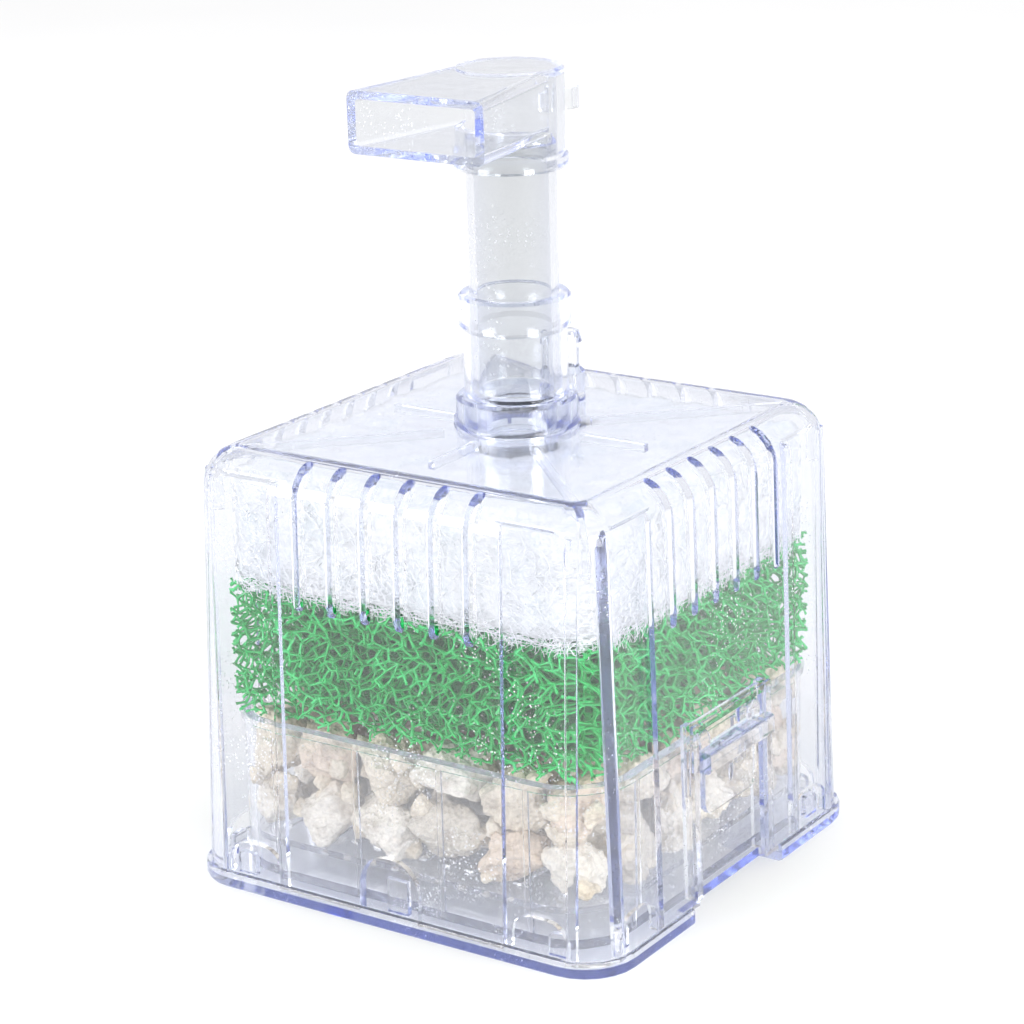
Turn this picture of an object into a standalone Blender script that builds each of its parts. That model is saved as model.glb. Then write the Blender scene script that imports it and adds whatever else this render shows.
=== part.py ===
"""Air-driven internal filter: clear slotted casing over a base with stones, foam, floss and a riser.

Millimetre constants, a scene in metres. Origin at the centre of the underside, +Z up, nozzle towards -Y.
"""

import math
import random

import bmesh
import bpy
from mathutils import Matrix, Vector

MM = 0.001
GAP = 0.3

# Base tray
TRAY_HALF = 50.6
TRAY_RADIUS = 11.0
TRAY_FLOOR = 2.0
TRAY_HEIGHT = 3.6
TRAY_LIP = 0.9
BAY_HALF = 17.5
BAY_DEPTH = 5.5

# Casing: a drafted box, open below, measured on its outer faces
CASING_FOOT = TRAY_FLOOR + GAP
CASING_TOP = 91.0
CASING_HALF_FOOT = 49.3
CASING_HALF_TOP = 47.2
CASING_RADIUS = 9.0
CASING_WALL = 2.0
CASING_FILLET = 8.0
DRAFT = math.atan((CASING_HALF_FOOT - CASING_HALF_TOP) / (CASING_TOP - CASING_FOOT))
SLOT_PITCH = 8.0
SLOT_WIDTH = 2.4
SLOT_FOOT = 62.0
SLOT_INSET = 5.5
FLUTE_FROM, FLUTE_TO = 27.0, 41.0
FLUTE_DEPTH = 1.1
ARCH_WIDTH = 14.0
ARCH_HEIGHT = 12.3
NOTCH_HEIGHT = 7.4
LATCH_BAY_HALF = 13.5
LATCH_BAY_TOP = 38.6
RETURN_DEPTH = 3.4
RIB_WIDTH = 1.4
SOCKET_RADIUS = 12.2
SOCKET_TOP = 97.0

# Basket, grid and media
BASKET_HALF = 44.0
BASKET_RADIUS = 12.0
BASKET_WALL = 1.5
BASKET_TOP = 35.5
GRID_FOOT, GRID_TOP = 9.0, 10.4
STONE_TOP = 35.2
STONE_DEPTH = 13.0
FOAM_HALF, FOAM_FOOT, FOAM_TOP = 44.3, 36.2, 63.0
FLOSS_HALF, FLOSS_FOOT, FLOSS_TOP = 43.6, 63.3, 85.5

# Lift tube, riser and head
LIFT_OUTER, LIFT_INNER = 7.6, 6.2
LIFT_FOOT, LIFT_TOP = 5.4, 95.0
SLEEVE_OUTER = 10.4
SLEEVE_FOOT, SLEEVE_TOP = 87.0, 117.6
SLEEVE_STEP = 97.6
RISER_OUTER, RISER_INNER = 8.9, 7.4
RISER_FOOT, RISER_TOP = 98.2, 147.6
HEAD_OUTER, HEAD_INNER = 10.8, 9.2
HEAD_FOOT, HEAD_TOP = 142.6, 162.2
NOZZLE_MOUTH_Y = -31.5
NOZZLE_MOUTH_HALF = 15.5
NOZZLE_FOOT, NOZZLE_TOP = 149.2, 161.3
NOZZLE_WALL = 1.6
AIR_Y = 19.0
PIPE_OUTER, PIPE_INNER = 2.0, 1.2
PIPE_FOOT = 13.0

# Latches
LATCH_AXIS_X, LATCH_AXIS_Z = 46.9, 35.6


def clear_scene():
    for obj in list(bpy.data.objects):
        bpy.data.objects.remove(obj, do_unlink=True)


def new_collection(name, helper=False):
    made = bpy.data.collections.new(name)
    bpy.context.scene.collection.children.link(made)
    made.hide_render = helper
    return made


def new_material(name, colour, roughness, alpha=1.0):
    made = bpy.data.materials.new(name)
    made.use_nodes = True
    shader = made.node_tree.nodes["Principled BSDF"]
    shader.inputs["Base Color"].default_value = (*colour, 1.0)
    shader.inputs["Roughness"].default_value = roughness
    shader.inputs["Metallic"].default_value = 0.0
    shader.inputs["Alpha"].default_value = alpha
    return made


clear_scene()
PARTS = new_collection("internal_filter")
CUTTERS = new_collection("cutters", helper=True)
CLEAR = new_material("clear_plastic", (0.88, 0.9, 0.97), 0.08, 0.3)
GREEN = new_material("green_foam", (0.06, 0.5, 0.12), 0.9)
WHITE = new_material("white_floss", (0.92, 0.93, 0.93), 0.95)
STONE = new_material("cream_stone", (0.72, 0.66, 0.58), 0.9)


def add_object(name, bm, material=None, helper=False, origin=(0, 0, 0)):
    """Turns a bmesh in millimetres into an object in metres whose origin lies at the given point."""
    shift = Matrix.Translation(-Vector(origin))
    bmesh.ops.transform(bm, matrix=Matrix.Scale(MM, 4) @ shift, verts=bm.verts)
    mesh = bpy.data.meshes.new(name)
    bm.to_mesh(mesh)
    bm.free()
    obj = bpy.data.objects.new(name, mesh)
    obj.location = Vector(origin) * MM
    (CUTTERS if helper else PARTS).objects.link(obj)
    if helper:
        obj.hide_render = True
        obj.display_type = "WIRE"
    if material:
        mesh.materials.append(material)
    mesh.shade_smooth()
    mesh.set_sharp_from_angle(angle=math.radians(32))
    return obj


def combine(target, other, operation):
    modifier = target.modifiers.new(operation.lower() + "_" + other.name, "BOOLEAN")
    modifier.operation = operation
    modifier.object = other
    modifier.solver = "EXACT"
    return modifier


def cut(target, other):
    return combine(target, other, "DIFFERENCE")


def join(target, other):
    return combine(target, other, "UNION")


def parallel_edges(verts, axis):
    """Edges of these vertices that run along a local axis."""
    found = set()
    for vert in verts:
        for edge in vert.link_edges:
            along = edge.verts[0].co - edge.verts[1].co
            if abs(along[axis]) > 0.995 * along.length:
                found.add(edge)
    return sorted(found, key=lambda edge: tuple(edge.verts[0].co) + tuple(edge.verts[1].co))


def add_box(bm, low, high, place=Matrix.Identity(4), rounds=(), segments=3):
    """A box between two corners. rounds lists (axis, radius, keep): keep picks the edges by their midpoint."""
    low, high = Vector(low), Vector(high)
    verts = bmesh.ops.create_cube(bm, size=1.0)["verts"]
    size = high - low
    for vert in verts:
        vert.co = (low + high) / 2 + Vector(c * s for c, s in zip(vert.co, size))
    for axis, radius, keep in rounds:
        edges = [
            edge
            for edge in parallel_edges(verts, axis)
            if keep((edge.verts[0].co + edge.verts[1].co) / 2)
        ]
        made = bmesh.ops.bevel(
            bm, geom=edges, offset=radius, segments=segments, affect="EDGES", profile=0.5
        )
        verts = [vert for vert in verts if vert.is_valid] + [
            vert for vert in made["verts"] if vert.is_valid
        ]
        verts = list(dict.fromkeys(verts))
    bmesh.ops.transform(bm, matrix=place, verts=verts)
    return verts


def add_cylinder(bm, radius, foot, top, place=Matrix.Identity(4), segments=24, radius_top=None):
    """An upright cylinder or cone between two heights."""
    made = bmesh.ops.create_cone(
        bm,
        cap_ends=True,
        segments=segments,
        radius1=radius,
        radius2=radius if radius_top is None else radius_top,
        depth=top - foot,
        matrix=place @ Matrix.Translation((0, 0, (foot + top) / 2)),
    )
    return made["verts"]


def add_drafted_box(bm, half_foot, half_top, foot, top, radius, fillet=0.0, segments=5):
    """A square box that narrows upwards, with round upright corners and a rounded top edge."""
    verts = bmesh.ops.create_cube(bm, size=2.0)["verts"]
    for vert in verts:
        half = half_top if vert.co.z > 0 else half_foot
        vert.co = Vector((vert.co.x * half, vert.co.y * half, top if vert.co.z > 0 else foot))
    bmesh.ops.bevel(
        bm, geom=parallel_edges(verts, 2), offset=radius, segments=segments, affect="EDGES", profile=0.5
    )
    if fillet:
        rim = [
            edge
            for edge in bm.edges
            if all(abs(vert.co.z - top) < 1e-4 for vert in edge.verts)
            and any(face.normal.z < 0.9 for face in edge.link_faces)
        ]
        bmesh.ops.bevel(bm, geom=rim, offset=fillet, segments=5, affect="EDGES", profile=0.5)


def rounded_slab(name, half, radius, foot, top, material=None, helper=False, segments=5, edge=0.0):
    bm = bmesh.new()
    add_drafted_box(bm, half, half, foot, top, radius, segments=segments)
    obj = add_object(name, bm, material, helper)
    if edge:
        bevel = obj.modifiers.new("edge", "BEVEL")
        bevel.width = edge * MM
        bevel.segments = 2
        bevel.limit_method = "ANGLE"
        bevel.angle_limit = math.radians(60)
    return obj


def turned(name, profile, material=None, helper=False, steps=32):
    """Turns a closed outline of (radius, height) points about Z. It runs down the outer side first."""
    mesh = bpy.data.meshes.new(name)
    count = len(profile)
    points = [(radius * MM, 0.0, height * MM) for radius, height in profile]
    mesh.from_pydata(points, [(i, (i + 1) % count) for i in range(count)], [])
    obj = bpy.data.objects.new(name, mesh)
    (CUTTERS if helper else PARTS).objects.link(obj)
    if helper:
        obj.hide_render = True
        obj.display_type = "WIRE"
    if material:
        mesh.materials.append(material)
    screw = obj.modifiers.new("turn", "SCREW")
    screw.axis = "Z"
    screw.steps = screw.render_steps = steps
    screw.use_merge_vertices = True
    screw.merge_threshold = 0.00001
    screw.use_smooth_shade = True
    return obj


def face_frame(side):
    """Local frame on one outer casing face: X along it, Y inwards, Z up its drafted slope."""
    return (
        Matrix.Rotation(side * math.pi / 2, 4, "Z")
        @ Matrix.Translation((0, -CASING_HALF_FOOT, CASING_FOOT))
        @ Matrix.Rotation(-DRAFT, 4, "X")
    )


def build_tray():
    tray = rounded_slab(
        "base_tray", TRAY_HALF, TRAY_RADIUS, 0.0, TRAY_HEIGHT, CLEAR, segments=6, edge=0.8
    )
    recess = rounded_slab(
        "tray_recess", TRAY_HALF - TRAY_LIP, TRAY_RADIUS - TRAY_LIP, TRAY_FLOOR, 8.0, helper=True, segments=6
    )
    bays, tabs = bmesh.new(), bmesh.new()
    for side in (-1, 1):
        inner = side * (TRAY_HALF - BAY_DEPTH)
        ends = sorted((inner, side * 60.0))
        add_box(bays, (ends[0], -BAY_HALF, -1), (ends[1], BAY_HALF, 9))
    for quarter in range(4):
        turn = Matrix.Rotation(quarter * math.pi / 2, 4, "Z")
        for along in (-37.5, 37.5):
            add_box(
                tabs,
                (along - 2.2, -46.4, 1.5),
                (along + 2.2, -45.2, 6.6),
                turn,
                [(1, 1.0, lambda p: p.z > 5)],
                2,
            )
    for side in (-1, 1):
        add_box(tabs, (-2.4, side * 45.8 - 0.6, 1.5), (2.4, side * 45.8 + 0.6, 9.0))
    cut(tray, recess)
    cut(tray, add_object("tray_bays", bays, helper=True))
    join(tray, add_object("tray_tabs", tabs, helper=True))
    return tray


def build_basket():
    basket = rounded_slab(
        "media_basket", BASKET_HALF, BASKET_RADIUS, CASING_FOOT, BASKET_TOP, CLEAR, segments=6
    )
    inside = rounded_slab(
        "basket_inside",
        BASKET_HALF - BASKET_WALL,
        BASKET_RADIUS - BASKET_WALL,
        CASING_FOOT + BASKET_WALL,
        45.0,
        helper=True,
        segments=6,
    )
    rim = rounded_slab(
        "basket_rim",
        BASKET_HALF + 0.7,
        BASKET_RADIUS + 0.7,
        BASKET_TOP - 1.4,
        BASKET_TOP,
        helper=True,
        segments=6,
    )
    ribs = bmesh.new()
    for quarter in range(4):
        turn = Matrix.Rotation(quarter * math.pi / 2, 4, "Z")
        places = (-30.0, -10.0, 10.0, 30.0) if quarter % 2 == 0 else (-30.0, 30.0)
        for along in places:
            add_box(
                ribs,
                (along - 0.6, -BASKET_HALF - 0.55, CASING_FOOT + 1.0),
                (along + 0.6, -BASKET_HALF + 0.6, BASKET_TOP - 0.6),
                turn,
            )
    roots = bmesh.new()
    for side in (-1, 1):
        for along in (-9.8, 9.8):
            ends = sorted((side * (BASKET_HALF - 0.5), side * 44.8))
            add_box(roots, (ends[0], along - 1.8, 24.0), (ends[1], along + 1.8, 33.6))
    join(basket, rim)
    join(basket, add_object("basket_ribs", ribs, helper=True))
    join(basket, add_object("latch_roots", roots, helper=True))
    cut(basket, inside)
    return basket


def build_grid():
    """Slotted plate on four feet, with a collar that holds the lift tube."""
    half = BASKET_HALF - BASKET_WALL - GAP
    grid = rounded_slab("grid_plate", half, BASKET_RADIUS - BASKET_WALL - GAP, GRID_FOOT, GRID_TOP, CLEAR)
    feet, slits = bmesh.new(), bmesh.new()
    foot_z = CASING_FOOT + BASKET_WALL + GAP
    for x in (-28.0, 28.0):
        for y in (-28.0, 28.0):
            add_cylinder(feet, 2.4, foot_z, GRID_FOOT + 0.6, Matrix.Translation((x, y, 0)), 12)
    add_cylinder(feet, LIFT_OUTER + 2.0, GRID_FOOT - 2.6, GRID_TOP - 0.4, segments=28)
    for column in range(-6, 7):
        x = column * 5.6
        for low, high in ((-36.0, -23.0), (-21.0, -13.5), (13.5, 21.0), (23.0, 36.0)):
            near_foot = abs(abs(x) - 28.0) < 3.9 and abs(low) > 22.0
            if not near_foot and abs(high) > 22.0:
                add_box(slits, (x - 0.9, low, GRID_FOOT - 3), (x + 0.9, high, GRID_TOP + 3))
    join(grid, add_object("grid_feet", feet, helper=True))
    cut(grid, add_object("grid_slits", slits, helper=True))
    bore = bmesh.new()
    add_cylinder(bore, LIFT_OUTER + GAP, 0.0, 20.0, segments=32)
    cut(grid, add_object("grid_bore", bore, helper=True))
    return grid


def build_lift_tube():
    """Open tube with an air port at its foot, where the air pipe feeds it."""
    tube = turned(
        "lift_tube",
        [(LIFT_OUTER, LIFT_TOP), (LIFT_OUTER, LIFT_FOOT), (LIFT_INNER, LIFT_FOOT), (LIFT_INNER, LIFT_TOP)],
        CLEAR,
    )
    lug, port = bmesh.new(), bmesh.new()
    add_box(lug, (-3.2, LIFT_INNER + 0.6, 11.0), (3.2, AIR_Y + 3.2, 19.0))
    pipe_place = Matrix.Translation((0, AIR_Y, 0))
    add_cylinder(port, PIPE_OUTER + GAP, PIPE_FOOT - GAP, 25.0, pipe_place, 20)
    level = Matrix.Translation((0, 0, PIPE_FOOT + 1.4)) @ Matrix.Rotation(-math.pi / 2, 4, "X")
    passage = bmesh.new()
    add_cylinder(passage, 1.3, 4.0, AIR_Y - 1.0, level, 12)
    join(tube, add_object("air_port_lug", lug, helper=True))
    cut(tube, add_object("air_port_bore", port, helper=True))
    cut(tube, add_object("air_port_passage", passage, helper=True))
    return tube


def stone(rng, name, low, high):
    """One rough stone that fills its own cell of the heap."""
    bm = bmesh.new()
    bmesh.ops.create_icosphere(bm, subdivisions=2, radius=1.0)
    tilt = Vector((rng.uniform(-1, 1), rng.uniform(-1, 1), 1.0)).normalized()
    spin = Matrix.Rotation(rng.uniform(0, 6.28), 4, tilt)
    for vert in bm.verts:
        vert.co = spin @ (vert.co * rng.uniform(0.8, 1.0))
    for axis in range(3):
        values = [vert.co[axis] for vert in bm.verts]
        least, span = min(values), max(values) - min(values)
        for vert in bm.verts:
            vert.co[axis] = low[axis] + (vert.co[axis] - least) / span * (high[axis] - low[axis])
    centre = [(a + b) / 2 for a, b in zip(low, high)]
    return add_object(name, bm, STONE, origin=centre)


def build_stones():
    """Columns of two stones against the basket wall, split at uneven heights, about a core in the middle."""
    rng = random.Random(11)
    wall = BASKET_HALF - BASKET_WALL - GAP
    inner = wall - STONE_DEPTH
    corner = wall - 2.2
    floor = GRID_TOP + GAP
    number = 0
    for quarter in range(4):
        cos, sin = round(math.cos(quarter * math.pi / 2)), round(math.sin(quarter * math.pi / 2))
        stops = [-inner, -inner / 2, 0.0, inner / 2, inner]
        stops = [stops[0]] + [s + rng.uniform(-2.6, 2.6) for s in stops[1:4]] + [stops[4]]
        cells = [(a + GAP / 2, b - GAP / 2, -wall, -inner) for a, b in zip(stops, stops[1:])]
        cells.append((inner + GAP, corner, -corner, -inner - GAP))
        for x0, x1, y0, y1 in cells:
            xs = sorted((cos * x0 - sin * y0, cos * x1 - sin * y1))
            ys = sorted((sin * x0 + cos * y0, sin * x1 + cos * y1))
            split = floor + (STONE_TOP - floor) * rng.uniform(0.36, 0.64)
            for foot, top in ((floor, split - GAP / 2), (split + GAP / 2, STONE_TOP)):
                number += 1
                low = (xs[0], ys[0], foot + rng.uniform(0, 0.4))
                high = (xs[1], ys[1], top - rng.uniform(0, 0.4))
                stone(rng, f"stone_{number:02d}", low, high)
    core = rounded_slab("stone_core", inner - GAP, 4.0, floor, STONE_TOP, STONE, segments=3)
    cut(core, pad_hole("core_hole"))


def pad_hole(name):
    """Hole for the lift tube, with a slot for the air pipe beside it."""
    tool = bmesh.new()
    add_box(tool, (-4.0, 0.0, 0.0), (4.0, AIR_Y + 4.2, 90.0), rounds=[(2, 2.6, lambda p: p.y > 9)])
    slot = add_object(name, tool, helper=True)
    round_hole = bmesh.new()
    add_cylinder(round_hole, LIFT_OUTER + 1.0, 0.0, 90.0, segments=28)
    join(slot, add_object(name + "_round", round_hole, helper=True))
    return slot


def build_pads():
    foam = rounded_slab("foam_pad", FOAM_HALF, 9.0, FOAM_FOOT, FOAM_TOP, GREEN, segments=4)
    floss = rounded_slab("floss_pad", FLOSS_HALF, 9.0, FLOSS_FOOT, FLOSS_TOP, WHITE, segments=4)
    hole = pad_hole("pad_hole")
    cut(foam, hole)
    cut(floss, hole)


def build_casing():
    shell = bmesh.new()
    add_drafted_box(
        shell, CASING_HALF_FOOT, CASING_HALF_TOP, CASING_FOOT, CASING_TOP, CASING_RADIUS, CASING_FILLET
    )
    casing = add_object("casing", shell, CLEAR)
    lower = 3.0
    spread = lower * math.tan(DRAFT)
    hollow = bmesh.new()
    add_drafted_box(
        hollow,
        CASING_HALF_FOOT - CASING_WALL + spread,
        CASING_HALF_TOP - CASING_WALL,
        CASING_FOOT - lower,
        CASING_TOP - CASING_WALL,
        CASING_RADIUS - CASING_WALL,
        CASING_FILLET - CASING_WALL,
    )
    cut(casing, add_object("casing_hollow", hollow, helper=True))

    ridges, channels, slots, arches, bays, posts, headers, ledges = (bmesh.new() for _ in range(8))
    for side in range(4):
        place = face_frame(side)
        for sign in (-1, 1):
            near, far = sorted((sign * FLUTE_FROM, sign * FLUTE_TO))
            depth = CASING_WALL + FLUTE_DEPTH
            rise = CASING_TOP - CASING_FOOT
            add_box(ridges, (near - 1, 1.0, 0.0), (far + 1, depth, rise - 5.0), place)
            add_box(channels, (near, -5, -9), (far, FLUTE_DEPTH, rise + 5.0), place)
            add_box(
                arches,
                (near + 0.4, -9, -9),
                (far - 0.4, 9, NOTCH_HEIGHT),
                place,
                [(1, 4.6, lambda p: p.z > 0)],
                4,
            )
        for step in range(6):
            along = (step - 2.5) * SLOT_PITCH
            turn = Matrix.Rotation(side * math.pi / 2, 4, "Z")
            half = SLOT_WIDTH / 2
            add_box(
                slots,
                (along - half, -60.0, SLOT_FOOT),
                (along + half, SLOT_INSET - CASING_HALF_TOP, CASING_TOP + 5.0),
                turn,
                [(2, half * 0.98, lambda p: p.y > -50), (1, half * 0.98, lambda p: p.z < 70)],
                2,
            )
        if side % 2 == 0:
            half = ARCH_WIDTH / 2
            add_box(arches, (-half, -9, -9), (half, 9, ARCH_HEIGHT), place, [(1, 6.4, lambda p: p.z > 0)], 5)
        else:
            rise = LATCH_BAY_TOP - CASING_FOOT
            post = LATCH_BAY_HALF + 1.8
            for sign in (-1, 1):
                ends = sorted((sign * (LATCH_BAY_HALF - 0.3), sign * post))
                add_box(posts, (ends[0], -0.7, 1.6), (ends[1], RETURN_DEPTH, rise + 1.6), place)
                ends = sorted((sign * (LATCH_BAY_HALF + 0.5), sign * 12.9))
                add_box(ledges, (ends[0], -0.5, 25.6), (ends[1], 2.4, 27.0), place)
            side_reach = post - 0.3
            add_box(
                headers, (-side_reach, -0.3, rise - 0.3), (side_reach, RETURN_DEPTH - 0.4, rise + 1.2), place
            )
            add_box(bays, (-LATCH_BAY_HALF, -9, -9), (LATCH_BAY_HALF, 9, rise), place)
    cut(casing, add_object("inlet_slots", slots, helper=True))
    join(casing, add_object("casing_ridges", ridges, helper=True))
    cut(casing, add_object("flute_channels", channels, helper=True))
    cut(casing, add_object("foot_arches", arches, helper=True))
    cut(casing, add_object("latch_bays", bays, helper=True))
    join(casing, add_object("bay_posts", posts, helper=True))
    join(casing, add_object("bay_headers", headers, helper=True))
    join(casing, add_object("bay_ledges", ledges, helper=True))

    ribs, drops, bends = bmesh.new(), bmesh.new(), bmesh.new()
    under = CASING_TOP - CASING_WALL
    for quarter in range(4):
        spoke = Matrix.Rotation((quarter + 0.5) * math.pi / 2, 4, "Z")
        add_box(ribs, (-RIB_WIDTH / 2, -57.5, under - 1.6), (RIB_WIDTH / 2, -15.0, under + 0.5), spoke)
        thin = RIB_WIDTH / 2 - 0.1
        add_box(drops, (-thin, -62.0, under - 11.0), (thin, -58.8, under - 3.6), spoke)
        slope = spoke @ Matrix.Translation((0, -58.83, 86.83)) @ Matrix.Rotation(math.pi / 4, 4, "X")
        add_box(bends, (0.1 - thin, -3.5, -1.2), (thin - 0.1, 3.5, 1.2), slope)
        turn = Matrix.Rotation(quarter * math.pi / 2, 4, "Z")
        if quarter != 2:
            add_box(ribs, (-RIB_WIDTH / 2, -30.0, under - 1.6), (RIB_WIDTH / 2, -15.0, under + 0.5), turn)
    join(casing, add_object("roof_ribs", ribs, helper=True))
    join(casing, add_object("rib_drops", drops, helper=True))
    join(casing, add_object("rib_bends", bends, helper=True))

    socket = turned(
        "riser_socket",
        [
            (SOCKET_RADIUS - 0.6, SOCKET_TOP),
            (SOCKET_RADIUS, SOCKET_TOP - 0.6),
            (SOCKET_RADIUS, 92.0),
            (SOCKET_RADIUS + 0.9, 90.5),
            (SOCKET_RADIUS, 87.6),
            (SLEEVE_OUTER - 1, 87.6),
            (SLEEVE_OUTER - 1, SOCKET_TOP),
        ],
        helper=True,
        steps=36,
    )
    join(casing, socket)
    nipple = turned(
        "air_nipple",
        [
            (2.3, 105.4),
            (2.9, 103.2),
            (2.3, 103.0),
            (2.3, 98.0),
            (3.4, 97.0),
            (3.4, 86.2),
            (0.6, 86.2),
            (0.6, 105.4),
        ],
        helper=True,
        steps=20,
    )
    nipple.location.y = AIR_Y * MM
    join(casing, nipple)
    web, bores = bmesh.new(), bmesh.new()
    add_box(web, (-0.7, SOCKET_RADIUS - 0.8, 90.0), (0.7, AIR_Y - 2.0, 96.4))
    join(casing, add_object("nipple_web", web, helper=True))
    add_cylinder(bores, SLEEVE_OUTER + GAP, 80.0, 110.0, segments=36)
    cut(casing, add_object("socket_bore", bores, helper=True))
    air = bmesh.new()
    pipe_place = Matrix.Translation((0, AIR_Y, 0))
    add_cylinder(air, 1.2, 84.0, 115.0, pipe_place, 16)
    cut(casing, add_object("nipple_bore", air, helper=True))
    seat = bmesh.new()
    add_cylinder(seat, PIPE_OUTER + GAP, 84.0, 92.0, pipe_place, 20)
    cut(casing, add_object("pipe_seat", seat, helper=True))
    return casing


def build_riser():
    """Stepped sleeve with a rounded band, and the tube that telescopes in it."""
    wide = RISER_OUTER + GAP
    narrow = LIFT_OUTER + GAP
    turned(
        "riser_sleeve",
        [
            (SLEEVE_OUTER + 0.3, SLEEVE_TOP),
            (SLEEVE_OUTER + 0.8, SLEEVE_TOP - 0.6),
            (SLEEVE_OUTER + 0.8, SLEEVE_TOP - 6.2),
            (SLEEVE_OUTER, SLEEVE_TOP - 7.2),
            (SLEEVE_OUTER, SLEEVE_FOOT),
            (narrow, SLEEVE_FOOT),
            (narrow, SLEEVE_STEP - 1.0),
            (wide, SLEEVE_STEP),
            (wide, SLEEVE_TOP),
        ],
        CLEAR,
        steps=36,
    )
    turned(
        "riser_tube",
        [
            (RISER_OUTER, RISER_TOP),
            (RISER_OUTER, RISER_FOOT),
            (RISER_INNER, RISER_FOOT),
            (RISER_INNER, RISER_TOP),
        ],
        CLEAR,
        steps=36,
    )


def build_air_pipe():
    pipe = turned(
        "air_pipe",
        [(PIPE_OUTER, 91.6), (PIPE_OUTER, PIPE_FOOT), (PIPE_INNER, PIPE_FOOT), (PIPE_INNER, 91.6)],
        CLEAR,
        steps=16,
    )
    pipe.location.y = AIR_Y * MM


def fan(name, inset, foot, mouth_y, corner):
    """Fan-shaped nozzle body with rounded long edges: narrow at the head, wide and lower at the mouth."""
    bm = bmesh.new()
    verts = bmesh.ops.create_cube(bm, size=2.0)["verts"]
    for vert in verts:
        at_mouth = vert.co.y < 0
        half = (NOZZLE_MOUTH_HALF if at_mouth else HEAD_OUTER - 0.25) - inset
        top = (NOZZLE_TOP if at_mouth else HEAD_TOP - 0.15) - inset
        height = top if vert.co.z > 0 else foot + inset
        vert.co = Vector((vert.co.x * half, mouth_y if at_mouth else -1.0, height))
    long_edges = [edge for edge in bm.edges if abs(edge.verts[0].co.y - edge.verts[1].co.y) > 1.0]
    bmesh.ops.bevel(bm, geom=long_edges, offset=corner, segments=3, profile=0.5, affect="EDGES")
    return add_object(name, bm, helper=True)


def build_head():
    head = turned(
        "outlet_head",
        [
            (0.0, HEAD_TOP),
            (HEAD_OUTER - 0.6, HEAD_TOP),
            (HEAD_OUTER, HEAD_TOP - 0.6),
            (HEAD_OUTER, HEAD_FOOT + 3.0),
            (HEAD_OUTER + 0.5, HEAD_FOOT + 2.4),
            (HEAD_OUTER + 0.5, HEAD_FOOT + 0.6),
            (HEAD_OUTER, HEAD_FOOT),
            (0.0, HEAD_FOOT),
        ],
        CLEAR,
        steps=36,
    )
    join(head, fan("nozzle_outside", 0.0, NOZZLE_FOOT, NOZZLE_MOUTH_Y, 1.5))
    clip, opening, link = bmesh.new(), bmesh.new(), bmesh.new()
    place = Matrix.Translation((0, 18.3, 0))
    add_cylinder(clip, 3.7, 151.2, 155.4, place, 20)
    add_cylinder(opening, 2.4, 149.0, 158.0, place, 16)
    mouth = bmesh.new()
    add_box(mouth, (-1.6, 18.5, 149.0), (1.6, 26.0, 158.0))
    add_box(link, (-1.3, HEAD_OUTER - 1.0, 151.5), (1.3, 15.6, 155.1))
    join(head, add_object("hose_clip", clip, helper=True))
    join(head, add_object("clip_link", link, helper=True))
    cut(head, add_object("clip_opening", opening, helper=True))
    cut(head, add_object("clip_mouth", mouth, helper=True))
    bore = bmesh.new()
    add_cylinder(bore, HEAD_INNER, HEAD_FOOT - 5.0, HEAD_TOP - NOZZLE_WALL, segments=36)
    cut(head, add_object("head_bore", bore, helper=True))
    cut(head, fan("nozzle_inside", NOZZLE_WALL, NOZZLE_FOOT, NOZZLE_MOUTH_Y - 2.0, 0.7))


def strap(name, along, turn):
    """Spring bend of a latch: an open strip bent over the axis, thickened by Solidify."""
    bm = bmesh.new()
    radius = 1.25
    path = [(LATCH_AXIS_X - radius, 33.0)]
    for step in range(9):
        angle = math.pi * (1 - step / 8)
        path.append((LATCH_AXIS_X + radius * math.cos(angle), LATCH_AXIS_Z + radius * math.sin(angle)))
    path.append((LATCH_AXIS_X + radius, 30.5))
    row = [bm.verts.new((x, along - 1.9, z)) for x, z in path]
    edges = [bm.edges.new(pair) for pair in zip(row, row[1:])]
    made = bmesh.ops.extrude_edge_only(bm, edges=edges)["geom"]
    moved = [item for item in made if isinstance(item, bmesh.types.BMVert)]
    bmesh.ops.translate(bm, vec=(0, 3.8, 0), verts=moved)
    bmesh.ops.recalc_face_normals(bm, faces=bm.faces)
    bmesh.ops.transform(bm, matrix=turn, verts=bm.verts)
    obj = add_object(name, bm, helper=True)
    solid = obj.modifiers.new("thickness", "SOLIDIFY")
    solid.thickness = 1.0 * MM
    solid.offset = 0.0
    return obj


def build_latch(name, side):
    """Squeeze latch: two spring bends, a gripping bar and a finger plate. Its origin is on the bends' axis."""
    tool = bmesh.new()
    turn = Matrix.Rotation(0.0 if side > 0 else math.pi, 4, "Z")
    outer = LATCH_AXIS_X + 1.25
    add_box(
        tool,
        (outer - 0.5, -12.6, 29.9),
        (outer + 3.4, 12.6, 34.3),
        turn,
        [(1, 0.9, lambda p: p.x > 50)],
        2,
    )
    latch = add_object(name, tool, CLEAR, origin=(side * LATCH_AXIS_X, 0, LATCH_AXIS_Z))
    plate = bmesh.new()
    add_box(
        plate,
        (outer - 0.6, -10.1, 19.6),
        (outer + 0.6, 10.1, 31.0),
        turn,
        [(0, 3.0, lambda p: p.z < 25)],
        3,
    )
    join(latch, add_object(name + "_plate", plate, helper=True))
    bump = bmesh.new()
    place = turn @ Matrix.Translation((outer + 0.5, 0, 25.6)) @ Matrix.Diagonal((0.6, 1.0, 1.7, 1.0))
    bmesh.ops.create_uvsphere(bump, u_segments=10, v_segments=6, radius=1.2, matrix=place)
    join(latch, add_object(name + "_bump", bump, helper=True))
    for number, along in enumerate((-9.8, 9.8)):
        join(latch, strap(f"{name}_bend_{number}", along, turn))
    return latch


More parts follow.
